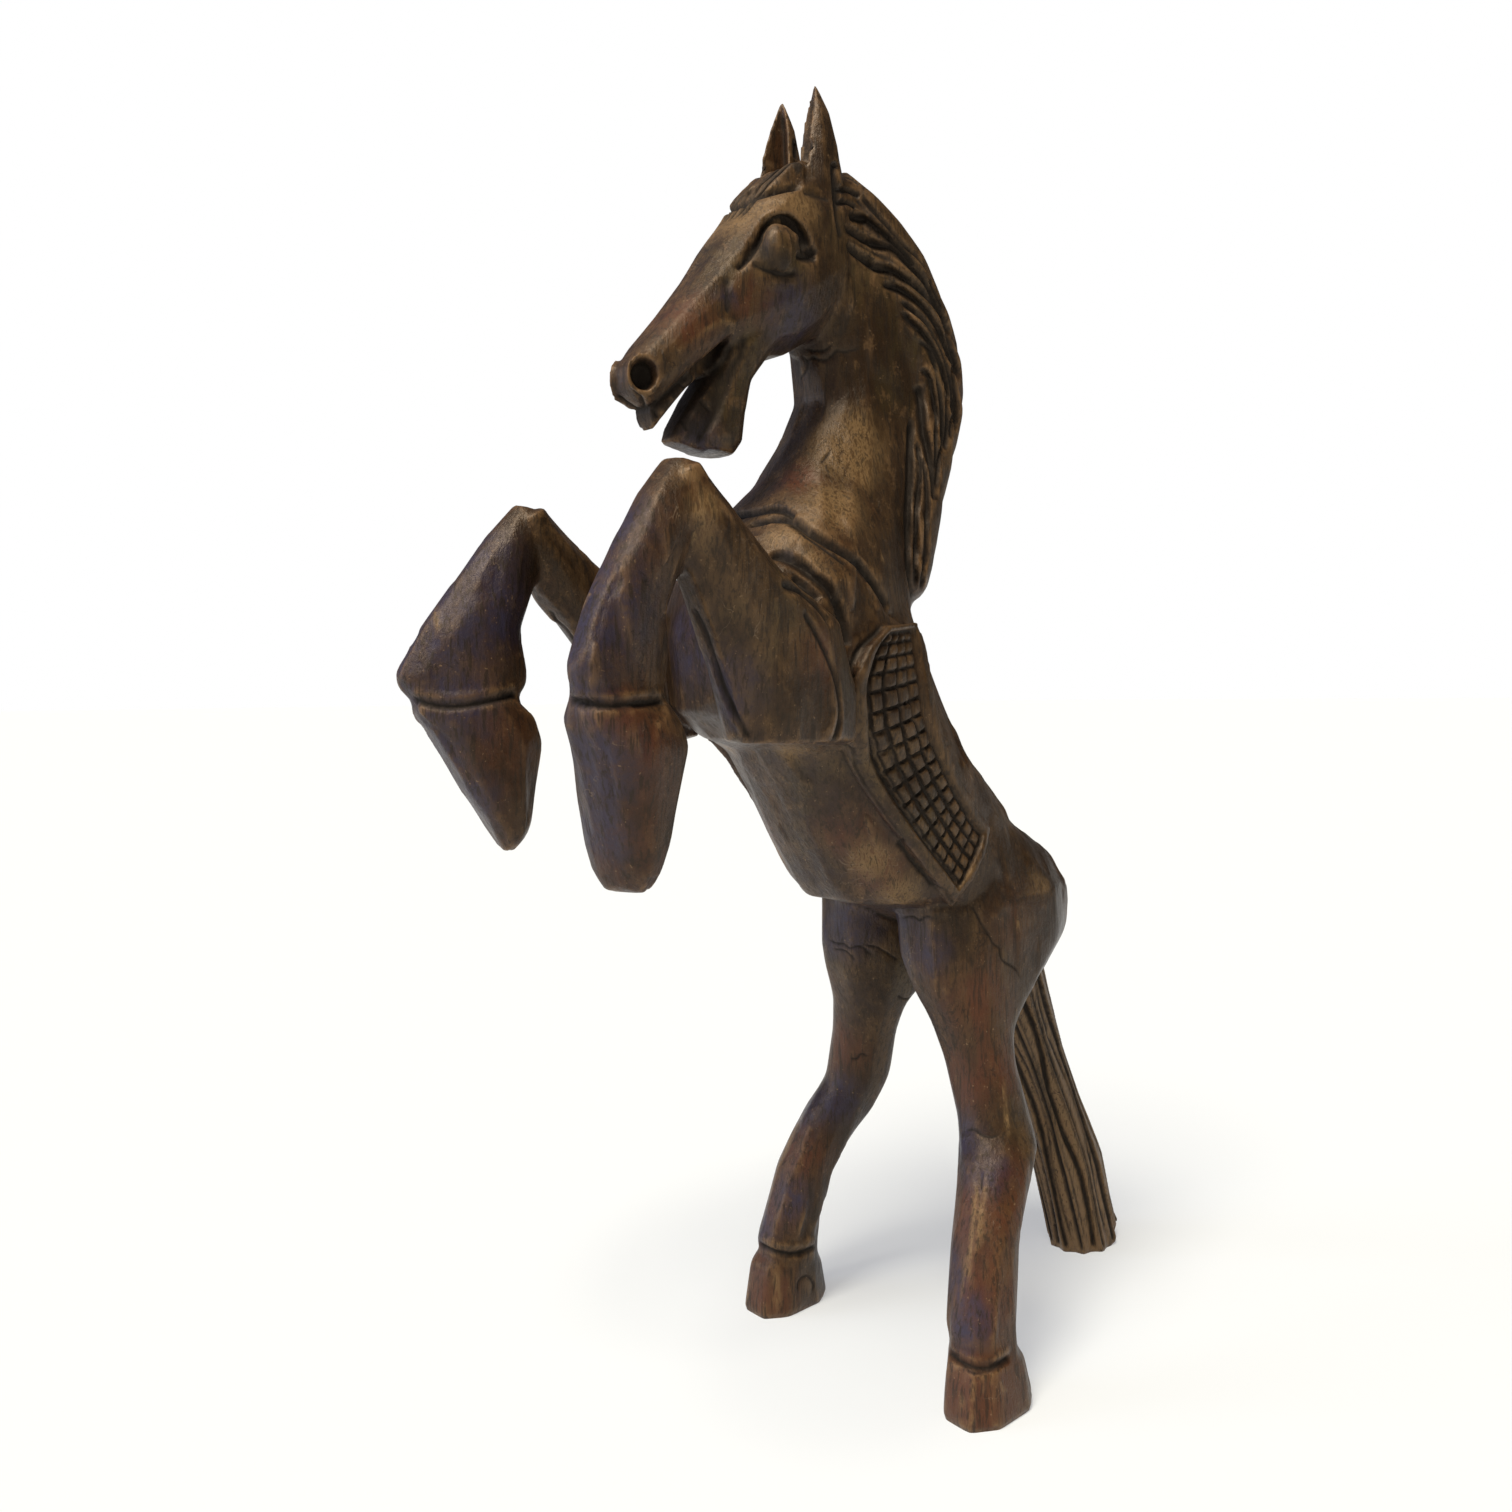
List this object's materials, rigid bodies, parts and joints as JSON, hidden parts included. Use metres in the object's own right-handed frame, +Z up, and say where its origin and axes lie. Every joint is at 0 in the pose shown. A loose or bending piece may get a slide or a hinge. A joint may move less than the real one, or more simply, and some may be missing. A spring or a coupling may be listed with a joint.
{
  "type": "carved wooden horse",
  "caption": "Rearing horse carved from dark wood, standing on its hind hooves and the end of its tail, with folded forelegs, open mouth, ribbed mane and a checked saddle blanket.",
  "frame": {"origin": "on the floor under the middle of the outline, midway between the hind hooves and a little in front of the tail", "axes": "+X the way the horse faces, +Y its left side, +Z up"},
  "size_m": [0.8392, 0.3242, 1.2],
  "materials": {
    "dark_wood": "oiled, worn satin"
  },
  "bodies": {
    "root": {"wooden_horse": "dark_wood"}
  },
  "joints": []
}
